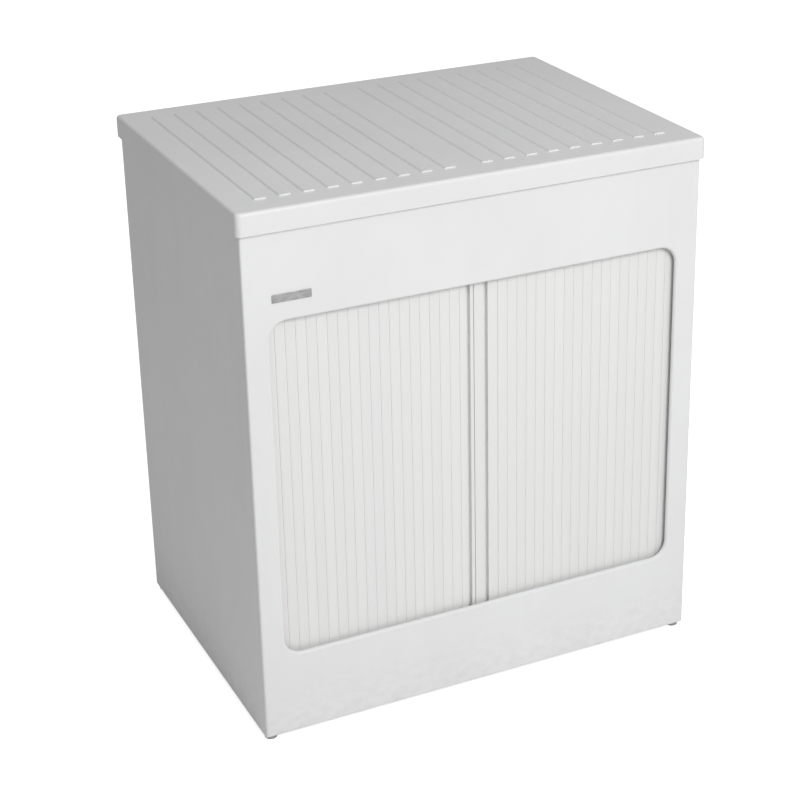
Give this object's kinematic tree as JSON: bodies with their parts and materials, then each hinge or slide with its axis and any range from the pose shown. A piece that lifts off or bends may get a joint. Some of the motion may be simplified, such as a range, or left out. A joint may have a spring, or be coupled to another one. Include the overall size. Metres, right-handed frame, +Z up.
{
  "type": "tambour cabinet",
  "caption": "White plastic floor cabinet with two sideways-rolling slatted shutters that meet in the middle, and a ribbed lift-off lid.",
  "frame": {"origin": "middle of the footprint, on the floor under the feet", "axes": "+Z up, -Y is the shutter side (front), +X is to the right of someone facing the front"},
  "size_m": [0.7, 0.504, 0.794],
  "materials": {
    "white_resin": "satin white moulded",
    "slat_resin": "satin warm white extruded",
    "guide_resin": "plain grey, assumed",
    "foot_rubber": "dull",
    "bright_plate": "bright, blank"
  },
  "bodies": {
    "cabinet": {"front_frame": "white_resin", "left_side_panel": "white_resin", "right_side_panel": "white_resin", "back_panel": "white_resin", "base_panel": "white_resin", "left_bottom_track": "guide_resin", "left_top_track": "guide_resin", "right_bottom_track": "guide_resin", "right_top_track": "guide_resin", "front_left_foot": "foot_rubber", "front_right_foot": "foot_rubber", "rear_left_foot": "foot_rubber", "rear_right_foot": "foot_rubber", "front_left_foot_socket": "guide_resin", "front_right_foot_socket": "guide_resin", "rear_left_foot_socket": "guide_resin", "rear_right_foot_socket": "guide_resin", "badge_plate": "bright_plate"},
    "lid": {"lid": "white_resin"},
    "left_shutter": {"left_stile": "slat_resin", "left_slat_05": "slat_resin", "left_slat_06": "slat_resin", "left_slat_07": "slat_resin", "left_slat_08": "slat_resin", "left_slat_09": "slat_resin", "left_slat_10": "slat_resin", "left_slat_11": "slat_resin", "left_slat_12": "slat_resin", "left_slat_13": "slat_resin", "left_slat_14": "slat_resin", "left_slat_15": "slat_resin", "left_slat_16": "slat_resin", "left_slat_17": "slat_resin", "left_slat_18": "slat_resin", "left_slat_19": "slat_resin"},
    "left_slat_01": {"left_slat_01": "slat_resin"},
    "left_slat_02": {"left_slat_02": "slat_resin"},
    "left_slat_03": {"left_slat_03": "slat_resin"},
    "left_slat_04": {"left_slat_04": "slat_resin"},
    "right_shutter": {"right_stile": "slat_resin", "right_slat_05": "slat_resin", "right_slat_06": "slat_resin", "right_slat_07": "slat_resin", "right_slat_08": "slat_resin", "right_slat_09": "slat_resin", "right_slat_10": "slat_resin", "right_slat_11": "slat_resin", "right_slat_12": "slat_resin", "right_slat_13": "slat_resin", "right_slat_14": "slat_resin", "right_slat_15": "slat_resin", "right_slat_16": "slat_resin", "right_slat_17": "slat_resin", "right_slat_18": "slat_resin", "right_slat_19": "slat_resin"},
    "right_slat_01": {"right_slat_01": "slat_resin"},
    "right_slat_02": {"right_slat_02": "slat_resin"},
    "right_slat_03": {"right_slat_03": "slat_resin"},
    "right_slat_04": {"right_slat_04": "slat_resin"}
  },
  "joints": [
    {"name": "lid_lift", "type": "slide", "parent": "cabinet", "child": "lid", "axis": [0, 0, 1], "range_m": [0, 0.035]},
    {"name": "left_shutter_slide", "type": "slide", "parent": "cabinet", "child": "left_shutter", "axis": [-1, 0, 0], "range_m": [0, 0.05]},
    {"name": "left_slat_01_turn", "type": "hinge", "parent": "cabinet", "child": "left_slat_01", "pos_m": [-0.30585, -0.20034, 0.3842], "axis": [0, 0, 1], "range_deg": [-86.16, 0]},
    {"name": "left_slat_02_turn", "type": "hinge", "parent": "cabinet", "child": "left_slat_02", "pos_m": [-0.29974, -0.19059, 0.3842], "axis": [0, 0, 1], "range_deg": [-64.8, 0]},
    {"name": "left_slat_03_turn", "type": "hinge", "parent": "cabinet", "child": "left_slat_03", "pos_m": [-0.29148, -0.15375, 0.3842], "axis": [0, 0, 1], "range_deg": [-35.35, 0]},
    {"name": "left_slat_04_turn", "type": "hinge", "parent": "cabinet", "child": "left_slat_04", "pos_m": [-0.2795, 0.16292, 0.3842], "axis": [0, 0, 1], "range_deg": [-7.24, 0]},
    {"name": "right_shutter_slide", "type": "slide", "parent": "cabinet", "child": "right_shutter", "axis": [1, 0, 0], "range_m": [0, 0.05]},
    {"name": "right_slat_01_turn", "type": "hinge", "parent": "cabinet", "child": "right_slat_01", "pos_m": [0.30585, -0.20034, 0.3842], "axis": [0, 0, 1], "range_deg": [0, 86.16]},
    {"name": "right_slat_02_turn", "type": "hinge", "parent": "cabinet", "child": "right_slat_02", "pos_m": [0.29974, -0.19059, 0.3842], "axis": [0, 0, 1], "range_deg": [0, 64.8]},
    {"name": "right_slat_03_turn", "type": "hinge", "parent": "cabinet", "child": "right_slat_03", "pos_m": [0.29148, -0.15375, 0.3842], "axis": [0, 0, 1], "range_deg": [0, 35.35]},
    {"name": "right_slat_04_turn", "type": "hinge", "parent": "cabinet", "child": "right_slat_04", "pos_m": [0.2795, 0.16292, 0.3842], "axis": [0, 0, 1], "range_deg": [0, 7.24]}
  ],
  "couplings": [
    {"joint": "left_slat_01_turn", "follows": "left_shutter_slide", "rad_per_m": -30.072},
    {"joint": "left_slat_02_turn", "follows": "left_shutter_slide", "rad_per_m": -22.615},
    {"joint": "left_slat_03_turn", "follows": "left_shutter_slide", "rad_per_m": -12.333},
    {"joint": "left_slat_04_turn", "follows": "left_shutter_slide", "rad_per_m": -2.5224},
    {"joint": "right_slat_01_turn", "follows": "right_shutter_slide", "rad_per_m": 30.072},
    {"joint": "right_slat_02_turn", "follows": "right_shutter_slide", "rad_per_m": 22.615},
    {"joint": "right_slat_03_turn", "follows": "right_shutter_slide", "rad_per_m": 12.333},
    {"joint": "right_slat_04_turn", "follows": "right_shutter_slide", "rad_per_m": 2.5224}
  ]
}
